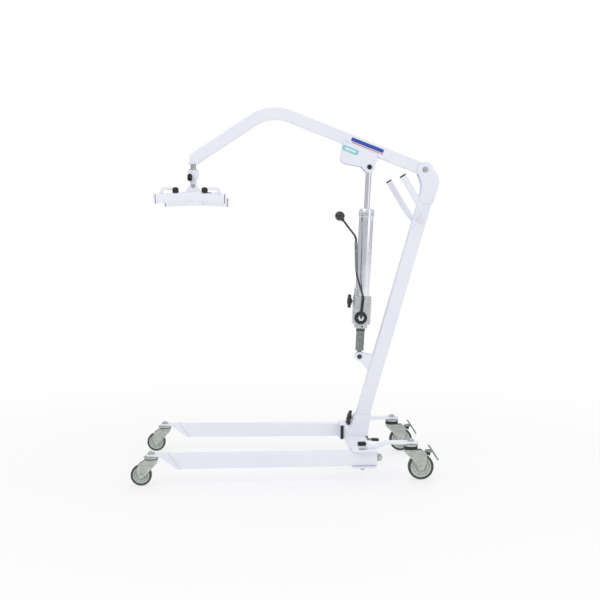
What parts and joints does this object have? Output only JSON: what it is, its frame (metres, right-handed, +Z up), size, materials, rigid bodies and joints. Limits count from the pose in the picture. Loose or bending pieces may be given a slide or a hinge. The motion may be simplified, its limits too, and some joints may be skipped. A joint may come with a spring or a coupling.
{
  "type": "patient lift hoist",
  "caption": "Wheeled patient lift hoist: spreading legs on casters, leaning mast with push handle, manual hydraulic ram and a bent boom carrying a sling cradle with hooks.",
  "frame": {"origin": "on the floor, under the middle of the hoist's bounding box", "axes": "+X towards the pushing side (rear), -X towards the patient side (front), +Y to the far side in the picture, +Z up"},
  "size_m": [1.2282, 0.6784, 1.4652],
  "materials": {
    "white_paint": "semi-gloss powder coat",
    "zinc": "zinc plated",
    "chrome": "bright chrome",
    "dark_steel": "dark phosphated steel",
    "black_plastic": "fine textured",
    "rubber": "matt",
    "tyre": "matt grey tread",
    "hub": "grey moulded"
  },
  "bodies": {
    "base": {"base_cross_beam": "white_paint", "beam_cap_near": "black_plastic", "beam_cap_far": "black_plastic", "leg_pivot_bolt_near": "zinc", "leg_pivot_bolt_far": "zinc", "rear_arm_near": "white_paint", "rear_arm_far": "white_paint", "mast_foot": "white_paint"},
    "mast": {"mast_tube": "white_paint", "mast_head": "white_paint", "boom_pin": "zinc", "pump_bracket": "white_paint", "ram_lower_pin": "dark_steel", "push_handle": "white_paint", "handle_cap_near": "black_plastic", "handle_cap_far": "black_plastic"},
    "mast_knob": {"mast_star_knob": "black_plastic"},
    "boom": {"boom_tube": "white_paint", "boom_bracket": "white_paint", "ram_upper_pin_near": "dark_steel", "ram_upper_pin_far": "dark_steel"},
    "ram_cylinder": {"ram_barrel": "chrome", "ram_lower_tube": "dark_steel"},
    "ram_piston": {"ram_rod": "chrome"},
    "release_valve": {"release_knob": "black_plastic"},
    "lever": {"pump_lever": "dark_steel", "lever_ball": "black_plastic"},
    "swivel": {"cradle_post": "zinc", "cradle_yoke": "chrome"},
    "swivel_lock": {"yoke_lock_knob": "black_plastic"},
    "cradle": {"cradle_beam": "white_paint", "cradle_tilt_pin": "zinc", "cradle_bar_near": "white_paint", "cradle_bar_far": "white_paint", "sling_stop_front_near": "rubber", "sling_stop_rear_near": "rubber", "sling_stop_front_far": "rubber", "sling_stop_rear_far": "rubber"},
    "pedal": {"spreader_pedal": "dark_steel"},
    "leg_near": {"leg_near": "white_paint", "leg_tip_near": "white_paint", "leg_end_bolt_near": "zinc"},
    "front_caster_near": {"front_fork_near": "zinc"},
    "front_wheel_near": {"front_hub_near": "hub", "front_tyre_near": "tyre"},
    "rear_caster_near": {"rear_fork_near": "zinc"},
    "rear_wheel_near": {"rear_hub_near": "hub", "rear_tyre_near": "tyre"},
    "brake_near": {"brake_pedal_near": "dark_steel"},
    "leg_far": {"leg_far": "white_paint", "leg_tip_far": "white_paint", "leg_end_bolt_far": "zinc"},
    "front_caster_far": {"front_fork_far": "zinc"},
    "front_wheel_far": {"front_hub_far": "hub", "front_tyre_far": "tyre"},
    "rear_caster_far": {"rear_fork_far": "zinc"},
    "rear_wheel_far": {"rear_hub_far": "hub", "rear_tyre_far": "tyre"},
    "brake_far": {"brake_pedal_far": "dark_steel"}
  },
  "joints": [
    {"name": "mast_lift_out", "type": "slide", "parent": "base", "child": "mast", "axis": [0.2774, 0, 0.9608], "range_m": [0, 0.09]},
    {"name": "mast_knob_turn", "type": "hinge", "parent": "base", "child": "mast_knob", "pos_m": [0.25497, 0, 0.1962], "axis": [-0.9608, 0, 0.2774], "range_deg": [0, 360]},
    {"name": "boom_pivot", "type": "hinge", "parent": "mast", "child": "boom", "pos_m": [0.55614, 0, 1.217], "axis": [0, 1, 0], "range_deg": [-30, 20]},
    {"name": "ram_tilt", "type": "hinge", "parent": "mast", "child": "ram_cylinder", "pos_m": [0.29064, 0, 0.452], "axis": [0, 1, 0], "range_deg": [-1, 1.3]},
    {"name": "ram_stroke", "type": "slide", "parent": "ram_cylinder", "child": "ram_piston", "axis": [0.0477, 0, 0.9989], "range_m": [-0.118, 0.079]},
    {"name": "pump_lever_stroke", "type": "hinge", "parent": "ram_cylinder", "child": "lever", "pos_m": [0.29333, 0, 0.61306], "axis": [0, 1, 0], "range_deg": [-55, 10]},
    {"name": "release_knob_turn", "type": "hinge", "parent": "ram_cylinder", "child": "release_valve", "pos_m": [0.25597, 0, 0.67991], "axis": [-0.9989, 0, 0.0477], "range_deg": [0, 180]},
    {"name": "cradle_swivel", "type": "hinge", "parent": "boom", "child": "swivel", "pos_m": [-0.38686, 0, 1.15], "axis": [0, 0, 1], "continuous": true},
    {"name": "swivel_lock_pull", "type": "slide", "parent": "swivel", "child": "swivel_lock", "axis": [0, -1, 0], "range_m": [0, 0.006], "stiffness_N_per_m": 400},
    {"name": "cradle_tilt", "type": "hinge", "parent": "swivel", "child": "cradle", "pos_m": [-0.38686, 0, 1.15], "axis": [0, 1, 0], "range_deg": [-25, 25]},
    {"name": "leg_spread_near", "type": "hinge", "parent": "base", "child": "leg_near", "pos_m": [0.27464, -0.29, 0.092], "axis": [0, 0, 1], "range_deg": [-1.5, 10]},
    {"name": "leg_spread_far", "type": "hinge", "parent": "base", "child": "leg_far", "pos_m": [0.27464, 0.29, 0.092], "axis": [0, 0, 1], "range_deg": [-10, 1.5]},
    {"name": "spreader_pedal_press", "type": "hinge", "parent": "base", "child": "pedal", "pos_m": [0.32194, 0, 0.108], "axis": [0, 1, 0], "range_deg": [-3, 20]},
    {"name": "front_caster_swivel_near", "type": "hinge", "parent": "leg_near", "child": "front_caster_near", "pos_m": [-0.53608, -0.31123, 0.11], "axis": [0, 0, 1], "continuous": true},
    {"name": "front_wheel_spin_near", "type": "hinge", "parent": "front_caster_near", "child": "front_wheel_near", "pos_m": [-0.57408, -0.31123, 0.04], "axis": [0, 1, 0], "continuous": true},
    {"name": "rear_caster_swivel_near", "type": "hinge", "parent": "base", "child": "rear_caster_near", "pos_m": [0.46464, -0.266, 0.11], "axis": [0, 0, 1], "continuous": true},
    {"name": "rear_wheel_spin_near", "type": "hinge", "parent": "rear_caster_near", "child": "rear_wheel_near", "pos_m": [0.50464, -0.266, 0.05], "axis": [0, 1, 0], "continuous": true},
    {"name": "brake_press_near", "type": "hinge", "parent": "rear_caster_near", "child": "brake_near", "pos_m": [0.52664, -0.266, 0.111], "axis": [0, 1, 0], "range_deg": [0, 9]},
    {"name": "front_caster_swivel_far", "type": "hinge", "parent": "leg_far", "child": "front_caster_far", "pos_m": [-0.53608, 0.31123, 0.11], "axis": [0, 0, 1], "continuous": true},
    {"name": "front_wheel_spin_far", "type": "hinge", "parent": "front_caster_far", "child": "front_wheel_far", "pos_m": [-0.57408, 0.31123, 0.04], "axis": [0, 1, 0], "continuous": true},
    {"name": "rear_caster_swivel_far", "type": "hinge", "parent": "base", "child": "rear_caster_far", "pos_m": [0.46464, 0.266, 0.11], "axis": [0, 0, 1], "continuous": true},
    {"name": "rear_wheel_spin_far", "type": "hinge", "parent": "rear_caster_far", "child": "rear_wheel_far", "pos_m": [0.50464, 0.266, 0.05], "axis": [0, 1, 0], "continuous": true},
    {"name": "brake_press_far", "type": "hinge", "parent": "rear_caster_far", "child": "brake_far", "pos_m": [0.52664, 0.266, 0.111], "axis": [0, 1, 0], "range_deg": [0, 9]}
  ],
  "couplings": [
    {"joint": "leg_spread_far", "follows": "leg_spread_near", "ratio": -1},
    {"joint": "spreader_pedal_press", "follows": "leg_spread_near", "ratio": 2},
    {"joint": "ram_tilt", "follows": "boom_pivot", "ratio": -0.0356},
    {"joint": "ram_stroke", "follows": "boom_pivot", "m_per_rad": 0.22}
  ]
}
